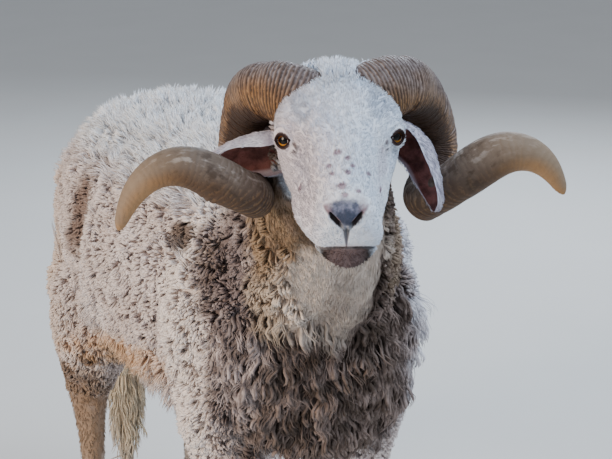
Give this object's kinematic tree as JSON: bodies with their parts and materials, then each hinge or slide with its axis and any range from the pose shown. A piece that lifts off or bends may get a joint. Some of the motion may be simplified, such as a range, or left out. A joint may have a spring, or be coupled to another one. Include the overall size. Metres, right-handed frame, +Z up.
{
  "type": "standing ram",
  "caption": "Life-size standing ram with open spiral horns, lop ears, a deep fleece with locks on chest and throat, bare lower legs with cloven hooves and a long woolled tail.",
  "frame": {"origin": "on the floor, under the middle of the whole ram's box", "axes": "+Z up; the trunk lies along Y with the breast towards -Y and the tail towards +Y; the ram's left side is towards +X"},
  "size_m": [0.5737, 1.2722, 1.0078],
  "materials": {
    "fleece": "matt",
    "face": "matt",
    "skin": "matt",
    "horn": "satin",
    "eye": "gloss",
    "hoof": "satin"
  },
  "bodies": {
    "root": {"torso": "fleece", "neck": "fleece", "tail": "fleece", "leg_front_left": "fleece", "leg_front_right": "fleece", "leg_hind_left": "fleece", "leg_hind_right": "fleece", "head": "face", "ear_left": "skin", "ear_right": "skin", "scrotum": "skin", "eye_left": "eye", "eye_right": "eye", "horn_left": "horn", "horn_right": "horn", "hoof_front_left_left_claw": "hoof", "hoof_front_left_right_claw": "hoof", "hoof_front_right_left_claw": "hoof", "hoof_front_right_right_claw": "hoof", "hoof_hind_left_left_claw": "hoof", "hoof_hind_left_right_claw": "hoof", "hoof_hind_right_left_claw": "hoof", "hoof_hind_right_right_claw": "hoof"}
  },
  "joints": []
}
